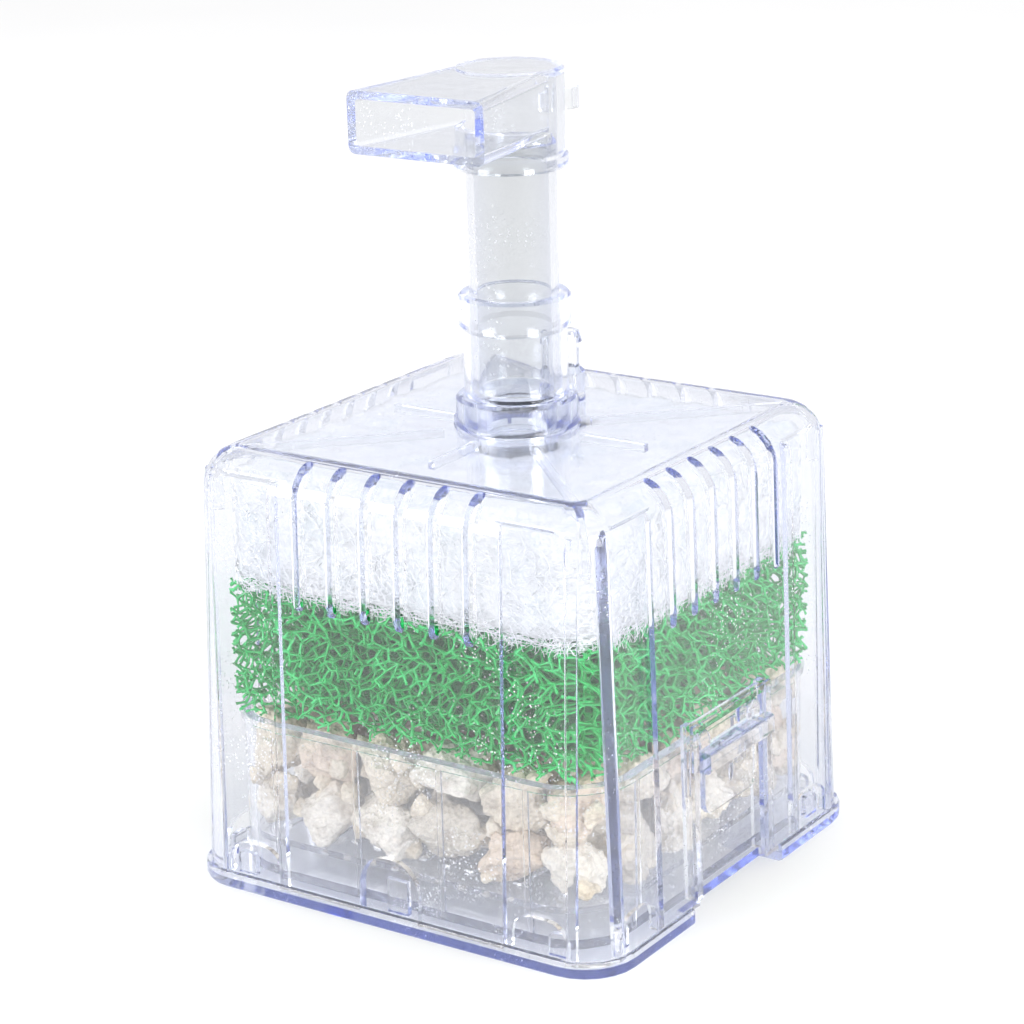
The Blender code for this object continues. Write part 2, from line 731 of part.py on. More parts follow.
build_tray()
build_basket()
build_grid()
build_lift_tube()
build_stones()
build_pads()
build_casing()
build_riser()
build_air_pipe()
build_head()
build_latch("latch_right", 1)
build_latch("latch_left", -1)
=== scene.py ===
"""Looks of the internal filter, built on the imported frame.
"""

import math

import bmesh
import bpy
import numpy as np
from mathutils import Matrix, Vector, noise


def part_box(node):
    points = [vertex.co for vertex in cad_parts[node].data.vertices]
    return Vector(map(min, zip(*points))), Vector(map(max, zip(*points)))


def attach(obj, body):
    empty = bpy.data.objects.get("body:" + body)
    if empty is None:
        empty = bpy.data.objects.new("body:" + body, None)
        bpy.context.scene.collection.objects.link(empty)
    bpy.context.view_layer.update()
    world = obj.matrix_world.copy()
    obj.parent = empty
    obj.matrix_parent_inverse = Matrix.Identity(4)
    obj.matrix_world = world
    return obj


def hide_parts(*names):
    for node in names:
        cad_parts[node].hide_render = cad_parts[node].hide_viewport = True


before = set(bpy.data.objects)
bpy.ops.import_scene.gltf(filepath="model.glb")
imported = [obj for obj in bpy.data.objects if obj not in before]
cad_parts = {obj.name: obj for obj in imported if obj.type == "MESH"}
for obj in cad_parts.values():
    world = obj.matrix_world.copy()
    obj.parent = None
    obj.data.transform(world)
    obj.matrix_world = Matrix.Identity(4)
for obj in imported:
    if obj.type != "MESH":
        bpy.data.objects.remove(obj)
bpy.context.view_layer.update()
MM = 0.001

PLASTIC_IOR = 1.45
PLASTIC_DEPTH = (0.42, 0.5, 0.84, 1.0)  # colour of light that has crossed thick plastic
LAMP_LIGHT = (0.97, 0.975, 0.985, 1.0)  # what a wall lets through from a lamp
DUST_SCALE, DUST_RADIUS = 950.0, 0.17

FOAM_STEP = 1.38  # grid step of the strut lattice
FOAM_LAYER = 13.0  # depth of the open struts, in front of the core
FOAM_CORNER = 8.6
STRUT_RADII = (0.4, 0.25, 0.4)
SHORTEST_STRUT = 0.35

FIBRES, LOOSE_ENDS, FIBRE_STEPS = 3300, 1900, 7
FIBRE_RADIUS = (0.05, 0.085)
FLOSS_CORNER = 9.0

STONES, CHIPS = 40, 150
STONE_PLANES = 10
STONE_SWELL = 0.9  # how far a stone reaches past its plain solid
STONE_ROUGHNESS = 0.38
HEAP_LOW, HEAP_HIGH = (-42.3, -42.3, 10.5), (42.3, 42.3, 35.9)

# Camera fitted to the product view, in degrees, metres and millimetres of lens.
AZIMUTH, ELEVATION, ROLL = 34.2, 17.66, -1.54
AIM_HEIGHT, DISTANCE, SHIFT = 0.0719, 0.6152, 0.0016
LENS, SENSOR = 107.35, 36.0
BOUNCES, CLEAR_BOUNCES = 96, 64  # light crosses many walls before it reaches the pads


# ---------------------------------------------------------------- helpers


def new_material(name):
    """A material with its node tree, its Principled shader and its output node."""
    material = bpy.data.materials.new(name)
    material.use_nodes = True
    tree = material.node_tree
    return material, tree, tree.nodes["Principled BSDF"], tree.nodes["Material Output"]


def add_node(tree, kind, **values):
    """A node with these properties, or with these sockets where it has no such property."""
    node = tree.nodes.new(kind)
    for name, value in values.items():
        socket = name.replace("_", " ")
        if hasattr(node, name):
            setattr(node, name, value)
        else:
            node.inputs[socket].default_value = value
    return node


def link(tree, source, target):
    tree.links.new(source, target)


def ramp(tree, source, stops):
    """The colour of a ramp of (place, colour) stops along a value."""
    node = tree.nodes.new("ShaderNodeValToRGB")
    elements = node.color_ramp.elements
    while len(elements) < len(stops):
        elements.new(0.5)
    for element, (place, colour) in zip(elements, stops):
        element.position = place
        element.color = (*colour, 1.0)
    link(tree, source, node.inputs["Fac"])
    return node.outputs["Color"]


def object_noise(tree, scale, detail=4.0, roughness=0.6, coordinates=None):
    """Noise in object coordinates, whose unit is a metre."""
    if coordinates is None:
        coordinates = tree.nodes.new("ShaderNodeTexCoord").outputs["Object"]
    node = add_node(tree, "ShaderNodeTexNoise", Scale=scale, Detail=detail, Roughness=roughness)
    link(tree, coordinates, node.inputs["Vector"])
    return node.outputs["Fac"]


def bump(tree, shader, height, strength, distance):
    """Relief from a height, added to a shader's normal."""
    node = add_node(tree, "ShaderNodeBump", Strength=strength, Distance=distance)
    link(tree, height, node.inputs["Height"])
    link(tree, node.outputs["Normal"], shader.inputs["Normal"])


def combine(tree, operation, first, second):
    """A Math node's output. The second value is a socket or a number."""
    node = add_node(tree, "ShaderNodeMath", operation=operation)
    link(tree, first, node.inputs[0])
    if isinstance(second, float):
        node.inputs[1].default_value = second
    else:
        link(tree, second, node.inputs[1])
    return node.outputs[0]


def mix_shaders(tree, share, first, second):
    """The mix of two shaders, by the share of the second."""
    node = tree.nodes.new("ShaderNodeMixShader")
    for socket, source in zip(node.inputs, (share, first, second)):
        link(tree, source, socket)
    return node.outputs[0]


def mesh_object(name, points, faces, material, body, replaces=()):
    """An object from points in millimetres and an array of faces with equal corner counts."""
    points = np.asarray(points, np.float32) * MM
    faces = np.asarray(faces, np.int32)
    count, corners = faces.shape
    mesh = bpy.data.meshes.new(name)
    mesh.vertices.add(len(points))
    mesh.vertices.foreach_set("co", points.ravel())
    mesh.loops.add(count * corners)
    mesh.loops.foreach_set("vertex_index", faces.ravel())
    mesh.polygons.add(count)
    mesh.polygons.foreach_set("loop_start", np.arange(0, count * corners, corners, dtype=np.int32))
    mesh.polygons.foreach_set("use_smooth", np.full(count, True))
    mesh.update(calc_edges=True)
    mesh.validate()
    mesh.materials.append(material)
    obj = bpy.data.objects.new(name, mesh)
    bpy.context.scene.collection.objects.link(obj)
    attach(obj, body)
    if replaces:
        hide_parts(*replaces)
    return obj


def soften(obj, limit=34.0):
    """Smooth normals for a faceted solid.

    Faces in one plane form a region with one normal, so that a flat wall doesn't bend what is behind it. At a
    corner, the regions that meet at under limit degrees are averaged, the larger ones counting for more.
    """
    mesh = obj.data
    count = len(mesh.polygons)
    points = np.empty(len(mesh.vertices) * 3, np.float32)
    mesh.vertices.foreach_get("co", points)
    corners = np.empty(count * 3, np.int32)
    mesh.loops.foreach_get("vertex_index", corners)
    _, place = np.unique(np.round(points.reshape(-1, 3) * 2e5), axis=0, return_inverse=True)
    place = place.reshape(-1)[corners].reshape(-1, 3)
    spots = points.reshape(-1, 3)[corners].reshape(-1, 3, 3)
    cross = np.cross(spots[:, 1] - spots[:, 0], spots[:, 2] - spots[:, 0])
    area = np.linalg.norm(cross, axis=1)
    normal = cross / np.maximum(area, 1e-14)[:, None]
    parent = np.arange(count)

    def root(face):
        while parent[face] != face:
            parent[face] = parent[parent[face]]
            face = parent[face]
        return face

    edges = {}
    for face in range(count):
        for a, b in ((0, 1), (1, 2), (2, 0)):
            key = tuple(sorted((place[face, a], place[face, b])))
            edges.setdefault(key, []).append(face)
    for faces in edges.values():
        for other in faces[1:]:
            first = faces[0]
            tiny = min(area[first], area[other]) < 1e-9
            if normal[first] @ normal[other] > (0.999 if tiny else 0.99995):
                parent[root(other)] = root(first)
    region = np.array([root(face) for face in range(count)])
    total = np.bincount(region, weights=area, minlength=count)
    mean = np.stack([np.bincount(region, weights=axis, minlength=count) for axis in cross.T], axis=1)
    mean /= np.maximum(np.linalg.norm(mean, axis=1, keepdims=True), 1e-14)
    around = {}
    for face in range(count):
        for spot in place[face]:
            around.setdefault(spot, set()).add(region[face])
    result = np.empty((count, 3, 3), np.float32)
    least = math.cos(math.radians(limit))
    for face in range(count):
        own = region[face]
        for corner in range(3):
            near = [r for r in around[place[face, corner]] if mean[r] @ mean[own] > least]
            blend = sum(mean[r] * total[r] ** 2 for r in near)
            result[face, corner] = blend / max(np.linalg.norm(blend), 1e-30)
    mesh.shade_smooth()
    mesh.normals_split_custom_set(result.reshape(-1, 3))


def tubes(lines, radii, sides=3):
    """Points and faces of thin tubes along n lines of k points: lines is (n, k, 3), radii (n, k)."""
    count, steps, _ = lines.shape
    along = np.gradient(lines, axis=1)
    along /= np.maximum(np.linalg.norm(along, axis=2, keepdims=True), 1e-9)
    helper = np.where(np.abs(along[..., 2:3]) < 0.8, [0.0, 0.0, 1.0], [1.0, 0.0, 0.0])
    across = np.cross(along, helper)
    across /= np.maximum(np.linalg.norm(across, axis=2, keepdims=True), 1e-9)
    other = np.cross(along, across)
    turn = np.linspace(0, 2 * math.pi, sides, endpoint=False)[None, None, :, None]
    ring = across[:, :, None] * np.cos(turn) + other[:, :, None] * np.sin(turn)
    points = lines[:, :, None] + ring * radii[:, :, None, None]
    index = np.arange(count * steps * sides).reshape(count, steps, sides)
    low, high = index[:, :-1], index[:, 1:]
    quads = np.stack([low, np.roll(low, -1, axis=2), np.roll(high, -1, axis=2), high], axis=-1)
    return points.reshape(-1, 3), quads.reshape(-1, 4)[:, ::-1]


# ---------------------------------------------------------------- materials


def dust_share(tree, coordinates, specks, veil):
    """Share of a surface that dust hides: small dots, denser in patches, over an even veil."""
    cells = add_node(tree, "ShaderNodeTexVoronoi", Scale=DUST_SCALE, Randomness=1.0)
    link(tree, coordinates, cells.inputs["Vector"])
    dot = combine(tree, "LESS_THAN", cells.outputs["Distance"], DUST_RADIUS)
    patch = object_noise(tree, 45.0, 2.0, 0.5, coordinates)
    dense = add_node(tree, "ShaderNodeMapRange", From_Min=0.5, From_Max=0.68, To_Min=0.0, To_Max=specks)
    link(tree, patch, dense.inputs["Value"])
    return combine(tree, "ADD", combine(tree, "MULTIPLY", dot, dense.outputs["Result"]), veil)


def clear_plastic(name, specks, density=32.0, face=(0.94, 0.943, 0.935), edge=(0.86, 0.88, 0.97), veil=0.0):
    """Clear moulded plastic.

    face and edge are its tints seen head-on and at a slant, and density is how much its depth turns light blue.
    """
    material, tree, shader, output = new_material(name)
    shader.inputs["IOR"].default_value = PLASTIC_IOR
    shader.inputs["Transmission Weight"].default_value = 1.0
    coordinates = tree.nodes.new("ShaderNodeTexCoord").outputs["Object"]
    slant = add_node(tree, "ShaderNodeLayerWeight", Blend=0.3)
    tint = add_node(tree, "ShaderNodeMix", data_type="RGBA")
    link(tree, slant.outputs["Facing"], tint.inputs["Factor"])
    tint.inputs[6].default_value = (*face, 1.0)
    tint.inputs[7].default_value = (*edge, 1.0)
    link(tree, tint.outputs[2], shader.inputs["Base Color"])
    rough = add_node(tree, "ShaderNodeMapRange", To_Min=0.01, To_Max=0.07)
    link(tree, object_noise(tree, 60.0, 3.0, 0.6, coordinates), rough.inputs["Value"])
    link(tree, rough.outputs["Result"], shader.inputs["Roughness"])
    bump(tree, shader, object_noise(tree, 90.0, 2.0, 0.4, coordinates), 0.08, 0.0006)
    dust = add_node(tree, "ShaderNodeBsdfDiffuse", Color=(0.95, 0.95, 0.97, 1.0))
    share = dust_share(tree, coordinates, specks, veil)
    dusty = mix_shaders(tree, share, shader.outputs[0], dust.outputs[0])
    # Light from the lamps passes straight through to what is inside.
    path = tree.nodes.new("ShaderNodeLightPath")
    passing = combine(tree, "MAXIMUM", path.outputs["Is Shadow Ray"], path.outputs["Is Diffuse Ray"])
    through = add_node(tree, "ShaderNodeBsdfTransparent", Color=LAMP_LIGHT)
    link(tree, mix_shaders(tree, passing, dusty, through.outputs[0]), output.inputs["Surface"])
    depth = add_node(tree, "ShaderNodeVolumeAbsorption", Color=PLASTIC_DEPTH, Density=density)
    link(tree, depth.outputs[0], output.inputs["Volume"])
    return material


def foam_material():
    """Glossy green strands, from deep green to a pale yellowish tone."""
    material, tree, shader, _ = new_material("green_foam_strands")
    tone = object_noise(tree, 130.0, 4.0, 0.65)
    stops = [(0.3, (0.003, 0.35, 0.06)), (0.5, (0.008, 0.54, 0.11)), (0.72, (0.08, 0.75, 0.23))]
    colour = ramp(tree, tone, stops)
    link(tree, colour, shader.inputs["Base Color"])
    shader.inputs["Roughness"].default_value = 0.42
    shader.inputs["Specular IOR Level"].default_value = 0.5
    shader.inputs["Subsurface Weight"].default_value = 0.15
    shader.inputs["Subsurface Radius"].default_value = (0.1, 0.6, 0.2)
    shader.inputs["Subsurface Scale"].default_value = 0.001
    bump(tree, shader, object_noise(tree, 900.0, 3.0), 0.3, 0.0003)
    return material


def painted_shade_core_material():
    """Painted shade: a dark green seen between the strands, standing in for the shade where the foam is deep.
    """
    material, tree, shader, _ = new_material("green_foam_painted_shade")
    tone = object_noise(tree, 260.0, 5.0, 0.7)
    # Painted shade: these greens are darker than the strands' to stand in for the shade inside the foam.
    colour = ramp(tree, tone, [(0.35, (0.002, 0.13, 0.03)), (0.65, (0.01, 0.3, 0.08))])
    link(tree, colour, shader.inputs["Base Color"])
    shader.inputs["Roughness"].default_value = 0.9
    bump(tree, shader, tone, 1.0, 0.002)
    return material


def floss_material():
    """White matted fibre with faint grey mottles."""
    material, tree, shader, _ = new_material("white_floss_mat")
    coordinates = tree.nodes.new("ShaderNodeTexCoord").outputs["Object"]
    fine = object_noise(tree, 1100.0, 6.0, 0.75, coordinates)
    broad = object_noise(tree, 110.0, 3.0, 0.6, coordinates)
    mixed = combine(tree, "MULTIPLY", fine, broad)
    stops = [(0.15, (0.68, 0.72, 0.73)), (0.25, (0.91, 0.92, 0.925)), (0.36, (0.98, 0.98, 0.98))]
    colour = ramp(tree, mixed, stops)
    link(tree, colour, shader.inputs["Base Color"])
    shader.inputs["Roughness"].default_value = 0.95
    shader.inputs["Sheen Weight"].default_value = 0.4
    shader.inputs["Subsurface Weight"].default_value = 0.15
    shader.inputs["Subsurface Radius"].default_value = (1.0, 1.0, 1.0)
    shader.inputs["Subsurface Scale"].default_value = 0.003
    bump(tree, shader, mixed, 0.9, 0.0012)
    return material


def fibre_material():
    """White polyester fibre."""
    material, tree, shader, _ = new_material("white_fibre")
    tone = object_noise(tree, 300.0, 2.0)
    colour = ramp(tree, tone, [(0.3, (0.88, 0.89, 0.9)), (0.7, (0.97, 0.97, 0.98))])
    link(tree, colour, shader.inputs["Base Color"])
    shader.inputs["Roughness"].default_value = 0.5
    return material


def stone_material(name, light, dark, vein):
    """Porous stone: broad patches from dark to vein, fine grain and small pits."""
    material, tree, shader, _ = new_material(name)
    coordinates = tree.nodes.new("ShaderNodeTexCoord").outputs["Object"]
    broad = object_noise(tree, 170.0, 5.0, 0.65, coordinates)
    colour = ramp(tree, broad, [(0.34, dark), (0.5, light), (0.6, light), (0.72, vein)])
    grain = object_noise(tree, 1500.0, 3.0, 0.7, coordinates)
    stops = [(0.3, (0.72, 0.7, 0.68)), (0.5, (1.0, 1.0, 1.0)), (0.75, (1.08, 1.07, 1.05))]
    speck = ramp(tree, grain, stops)
    mix = add_node(tree, "ShaderNodeMix", data_type="RGBA", blend_type="MULTIPLY")
    mix.inputs["Factor"].default_value = 1.0
    link(tree, colour, mix.inputs[6])
    link(tree, speck, mix.inputs[7])
    link(tree, mix.outputs[2], shader.inputs["Base Color"])
    shader.inputs["Roughness"].default_value = 0.86
    pits = add_node(tree, "ShaderNodeTexVoronoi", Scale=900.0, Randomness=1.0)
    link(tree, coordinates, pits.inputs["Vector"])
    bump(tree, shader, combine(tree, "ADD", pits.outputs["Distance"], broad), 0.6, 0.0009)
    return material


# ---------------------------------------------------------------- clear pieces


def dress_clear_nodes():
    """Keeps the moulded pieces from the frame and gives them soft normals and the clear material."""
    shell = clear_plastic("clear_shell", 0.8, veil=0.015)
    riser = clear_plastic("clear_riser", 0.5, 16.0, (0.8, 0.81, 0.815))
    lining = clear_plastic("clear_lining", 0.3, 9.0, (0.96, 0.965, 0.975), (0.9, 0.92, 0.99))
    head = clear_plastic("clear_head", 0.7, 14.0, (0.83, 0.84, 0.845))
    base = clear_plastic("clear_base", 0.9, 8.0, (0.96, 0.955, 0.93), veil=0.05)
    lip = clear_plastic("clear_lip", 0.9, 27.0, (0.95, 0.95, 0.94), veil=0.02)
    looks = {
        "casing": shell,
        "riser_sleeve": lining,
        "riser_tube": riser,
        "lift_tube": lining,
        "air_pipe": lining,
        "outlet_head": head,
        "base_tray": lip,
        "media_basket": base,
        "grid_plate": base,
        "latch_right": shell,
        "latch_left": shell,
    }
    for node, material in looks.items():
        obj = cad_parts[node]
        obj.data.materials.clear()
        obj.data.materials.append(material)
        soften(obj)


# ---------------------------------------------------------------- foam and floss


def rounded_distance(points, half, corner):
    """Distance outside a rounded square, negative inside."""
    q = np.abs(points[:, :2]) - (half - corner)
    outside = np.linalg.norm(np.maximum(q, 0), axis=1)
    return outside + np.minimum(np.max(q, axis=1), 0) - corner


def in_hole(points, margin=0.0):
    """True near the lift tube or in the slot for the air pipe."""
    round_hole = np.hypot(points[:, 0], points[:, 1]) < 8.6 + margin
    slot = (np.abs(points[:, 0]) < 4.0 + margin) & (points[:, 1] > 0) & (points[:, 1] < 23.2 + margin)
    return round_hole | slot


def strut_lattice(reach):
    """Joints and pairs of neighbours of a lattice with four struts at a joint, in grid steps.

    A joint has just one coordinate divisible by 4 and just one that leaves 2.
    """
    grid = np.indices((2 * reach,) * 3, dtype=np.int16) - reach
    residue = grid % 4
    joint = ((residue == 0).sum(0) == 1) & ((residue == 2).sum(0) == 1)
    numbers = np.full(joint.shape, -1, np.int32)
    numbers[joint] = np.arange(joint.sum())
    pairs = []
    for offset in ((1, 1, 0), (1, -1, 0), (1, 0, 1), (1, 0, -1), (0, 1, 1), (0, 1, -1)):
        ahead = np.roll(numbers, [-o for o in offset], axis=(0, 1, 2))
        both = (numbers >= 0) & (ahead >= 0)
        pairs.append(np.stack([numbers[both], ahead[both]], axis=1))
    return np.stack([axis[joint] for axis in grid], axis=1).astype(float), np.concatenate(pairs)


def warped(points):
    """The lattice turned off the pad's axes and bent, so that no rows show."""
    turn = np.array(Matrix.Rotation(0.62, 3, Vector((0.7, 0.5, 0.4)).normalized()))
    points = points @ turn.T
    x, y, z = points.T
    wave = np.stack(
        [
            np.sin(y * 0.31 + 0.5) + np.sin(z * 0.43),
            np.sin(z * 0.37 + 1.1) + np.sin(x * 0.29),
            np.sin(x * 0.35 + 2.0) + np.sin(y * 0.41),
        ],
        axis=1,
    )
    return points + wave * 0.9


def clipped(start, end, partly, inside):
    """The ends of struts whose far end lies outside, drawn back to the boundary by halving."""
    reached = np.where(partly, 0.0, 1.0)
    gap, share = 0.5, np.zeros(partly.sum())
    for _ in range(6):
        trial = start[partly] + (end - start)[partly] * (share + gap)[:, None]
        share = np.where(inside(trial), share + gap, share)
        gap /= 2
    reached[partly] = share
    return start + (end - start) * reached[:, None]


def make_foam(low, high):
    """Open-cell foam: struts in the pad's outer layer, over a core whose dark green is painted shade."""
    rng = np.random.default_rng(5)
    half = high.x / MM - 0.3
    z0, z1 = low.z / MM + 0.3, high.z / MM - 0.2
    points, pairs = strut_lattice(int(66 / FOAM_STEP))
    points = warped(points * FOAM_STEP)
    points = points + rng.normal(0, 0.36, points.shape)
    points[:, 2] += (z0 + z1) / 2

    def inside(at):
        outer = rounded_distance(at, half, FOAM_CORNER)
        level = (at[:, 2] > z0) & (at[:, 2] < z1)
        return level & (outer < 0) & (outer > -FOAM_LAYER) & ~in_hole(at)

    kept = inside(points)
    near = pairs[kept[pairs[:, 0]] | kept[pairs[:, 1]]]
    length = np.linalg.norm(points[near[:, 0]] - points[near[:, 1]], axis=1)
    near = near[length < 4.0 * FOAM_STEP]
    start, end = points[near[:, 0]], points[near[:, 1]]
    swap = ~kept[near[:, 0]]
    start[swap], end[swap] = end[swap].copy(), start[swap].copy()
    partly = ~(kept[near[:, 0]] & kept[near[:, 1]])
    end = clipped(start, end, partly, inside)
    long_enough = np.linalg.norm(end - start, axis=1) > SHORTEST_STRUT
    start, end = start[long_enough], end[long_enough]
    middle = (start + end) / 2 + rng.normal(0, 0.08, start.shape)
    lines = np.stack([start, middle, end], axis=1)
    radii = np.array([STRUT_RADII]) * rng.uniform(0.85, 1.25, (len(start), 1))
    points, quads = tubes(lines, radii)
    mesh_object("foam_strands", points, quads, foam_material(), "base", ("foam_pad",))
    # The core block's dark green is painted shade for the deep foam between the strands.
    return block(
        "foam_painted_shade", half - 10.5, 6.0, z0 + 1.5, z1 - 1.5, 2.2, 0.7, painted_shade_core_material(), 3
    )


def block(name, half, corner, z0, z1, cell, lump, material, seed):
    """A lumpy block with rounded corners and a hole for the lift tube and the air pipe."""
    bm = bmesh.new()
    count = max(4, round(2 * half / cell))
    levels = max(2, round((z1 - z0) / cell))
    bmesh.ops.create_grid(bm, x_segments=count, y_segments=count, size=half)
    for vert in bm.verts:
        x, y = vert.co.x, vert.co.y
        qx, qy = abs(x) - (half - corner), abs(y) - (half - corner)
        if qx > 0 and qy > 0:
            scale = max(qx, qy) / max(math.hypot(qx, qy), 1e-6)
            vert.co.x = math.copysign(half - corner + qx * scale, x)
            vert.co.y = math.copysign(half - corner + qy * scale, y)
    removed = [face for face in bm.faces if in_hole(np.array([face.calc_center_median()]), 0.2)[0]]
    bmesh.ops.delete(bm, geom=removed, context="FACES")
    for vert in bm.verts:
        vert.co.z = z0
    faces = list(bm.faces)
    bmesh.ops.reverse_faces(bm, faces=faces)
    for level in range(levels):
        made = bmesh.ops.extrude_face_region(bm, geom=faces, use_keep_orig=level == 0)["geom"]
        faces = [item for item in made if isinstance(item, bmesh.types.BMFace)]
        moved = [item for item in made if isinstance(item, bmesh.types.BMVert)]
        bmesh.ops.translate(bm, vec=(0, 0, (z1 - z0) / levels), verts=moved)
    bmesh.ops.recalc_face_normals(bm, faces=bm.faces)
    bm.normal_update()
    for vert in bm.verts:
        place = vert.co * 0.21 + Vector((seed * 7.0, 0, 0))
        amount = noise.fractal(place, 1.0, 2.0, 3) * lump - lump * 0.4
        vert.co += vert.normal * min(amount, 0.15)
    points = np.array([vert.co for vert in bm.verts])
    bm.verts.index_update()
    bmesh.ops.triangulate(bm, faces=bm.faces)
    faces = np.array([[vert.index for vert in face.verts] for face in bm.faces])
    bm.free()
    return mesh_object(name, points, faces, material, "base")


def on_faces(turn, along, out, height, half):
    """Points on the block's four faces. out is held inside the rounded corners."""
    over = np.maximum(np.abs(along) - (half - FLOSS_CORNER), 0)
    rounded = half - FLOSS_CORNER + np.sqrt(np.maximum(FLOSS_CORNER**2 - over**2, 0.0)) - 0.1
    out = np.minimum(out, rounded)
    x = np.cos(turn) * along + np.sin(turn) * out
    y = np.sin(turn) * along - np.cos(turn) * out
    return np.stack([x, y, height], axis=-1)


def matted_fibres(rng, half, z0, z1):
    """Fibres that wander along the faces, more of them near the lower edge."""
    count, steps = FIBRES, FIBRE_STEPS
    side = rng.integers(0, 4, count)
    along = rng.uniform(-half + 2.5, half - 2.5, count)
    low_edge = rng.random(count) < 0.35
    near_edge = z0 + rng.exponential(1.2, count)
    height = np.where(low_edge, near_edge, rng.uniform(z0 + 0.5, z1 - 0.6, count))
    height = np.clip(height, z0 + 0.1, z1 - 0.5)
    hangs = np.where(rng.random(count) < 0.3, rng.exponential(0.9, count), 0.0)
    out = half - 0.25 - rng.uniform(0, 0.5, count)
    slope = rng.normal(0, 0.5, count)
    sign = np.where(rng.random(count) < 0.5, -1.0, 1.0)
    move = rng.uniform(3.0, 11.0, count)[:, None] / steps
    bend = rng.normal(0, 0.28, (count, steps)).cumsum(axis=1) + slope[:, None]
    along = along[:, None] + (np.cos(bend) * move * sign[:, None]).cumsum(axis=1)
    along = np.clip(along, -half + 1.5, half - 1.5)
    height = height[:, None] + (np.sin(bend) * move).cumsum(axis=1)
    height = np.clip(height, z0 - np.minimum(hangs, 2.4)[:, None], z1 - 0.2)
    out = np.minimum(out[:, None] + rng.normal(0, 0.1, (count, steps)).cumsum(axis=1), half)
    return on_faces(side[:, None] * math.pi / 2, along, out, height, half)


def loose_ends(rng, half, z0):
    """Short curled fibres that hang over the foam."""
    count, steps = LOOSE_ENDS, FIBRE_STEPS
    turn = rng.integers(0, 4, count)[:, None] * math.pi / 2
    start = rng.uniform(-half + 2.0, half - 2.0, count)
    sway = rng.normal(0, 0.45, (count, steps)).cumsum(axis=1) + rng.normal(0, 0.9, count)[:, None]
    stride = rng.uniform(2.2, 6.0, count)[:, None] / steps
    along = start[:, None] + (np.sin(sway) * stride).cumsum(axis=1)
    along = np.clip(along, -half + 1.5, half - 1.5)
    height = z0 + rng.uniform(0.2, 2.2, count)[:, None] - (np.cos(sway) * stride).cumsum(axis=1)
    height = np.clip(height, z0 - rng.uniform(0.8, 3.4, count)[:, None], z0 + 4.0)
    out = half - 0.1 - rng.uniform(0, 0.5, count)[:, None]
    return on_faces(turn, along, out, height, half)


def make_floss(low, high):
    """Matted floss: a soft lumpy block under a skin of loose fibres."""
    rng = np.random.default_rng(9)
    half = high.x / MM - 0.4
    z0, z1 = low.z / MM + 0.4, high.z / MM - 0.5
    mat = block("floss_mat", half - 0.5, 8.0, z0 + 0.5, z1, 1.6, 0.9, floss_material(), 2)
    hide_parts("floss_pad")
    lines = np.concatenate([matted_fibres(rng, half, z0, z1), loose_ends(rng, half, z0)])
    sizes = rng.uniform(*FIBRE_RADIUS, len(lines))
    points, quads = tubes(lines, np.repeat(sizes[:, None], FIBRE_STEPS, axis=1))
    mesh_object("floss_fibres", points, quads, fibre_material(), "base")
    return mat


# ---------------------------------------------------------------- stones


def stone_points(rng, sphere, low, high):
    """Points of a chipped stone that fills a box: a many-sided chunk with worn edges and pits."""
    planes = rng.normal(size=(STONE_PLANES, 3))
    planes /= np.linalg.norm(planes, axis=1, keepdims=True)
    depth = rng.uniform(0.55, 0.95, STONE_PLANES)
    facing = np.maximum(sphere @ planes.T, 1e-3)
    reach = np.minimum(depth / facing, 1.5)
    wear = 26  # a lower number wears the edges rounder
    radius = -np.log(np.exp(-reach * wear).sum(axis=1)) / wear
    points = sphere * np.clip(radius, 0.3, 1.3)[:, None]
    seed = Vector(rng.uniform(-50, 50, 3))
    lumps = np.array([noise.fractal(Vector(p) * 1.6 + seed, 0.8, 2.1, 5) for p in points])
    grit = np.array([noise.noise(Vector(p) * 12.0 + seed) for p in points])
    points = points * (1 + STONE_ROUGHNESS * (0.5 * lumps + 0.12 * grit))[:, None]
    least, most = points.min(0), points.max(0)
    # Kept inside the basket, above its grid and under the foam.
    return np.clip(low + (points - least) / (most - least) * (high - low), HEAP_LOW, HEAP_HIGH)


def unit_sphere(subdivisions):
    """Points and faces of an icosphere of radius 1."""
    bm = bmesh.new()
    bmesh.ops.create_icosphere(bm, subdivisions=subdivisions, radius=1.0)
    points = np.array([vert.co for vert in bm.verts])
    faces = np.array([[vert.index for vert in face.verts] for face in bm.faces])
    bm.free()
    return points, faces


def filler_spots(rng, z0, z1):
    """Places and half sizes of small stones: inside the heap, then chips in the gaps of its faces."""
    spots = []
    for x in np.arange(-25.5, 26, 8.5):
        for y in np.arange(-25.5, 26, 8.5):
            for z in (z0 + 4.2, z0 + 12.2, z0 + 20.2):
                spot = np.array([x, y, z]) + rng.uniform(-0.9, 0.9, 3)
                if not in_hole(spot[None], 5.0)[0]:
                    spots.append((spot, rng.uniform(3.4, 4.6, 3)))
    for _ in range(CHIPS):
        along, out = rng.uniform(-40, 40), rng.uniform(36.5, 40.2)
        height = rng.uniform(z0 + 1.5, z1 - 1.5)
        angle = rng.integers(0, 4) * math.pi / 2
        x = math.cos(angle) * along + math.sin(angle) * out
        y = math.sin(angle) * along - math.cos(angle) * out
        spots.append((np.array([x, y, height]), rng.uniform(1.3, 2.9, 3)))
    return spots


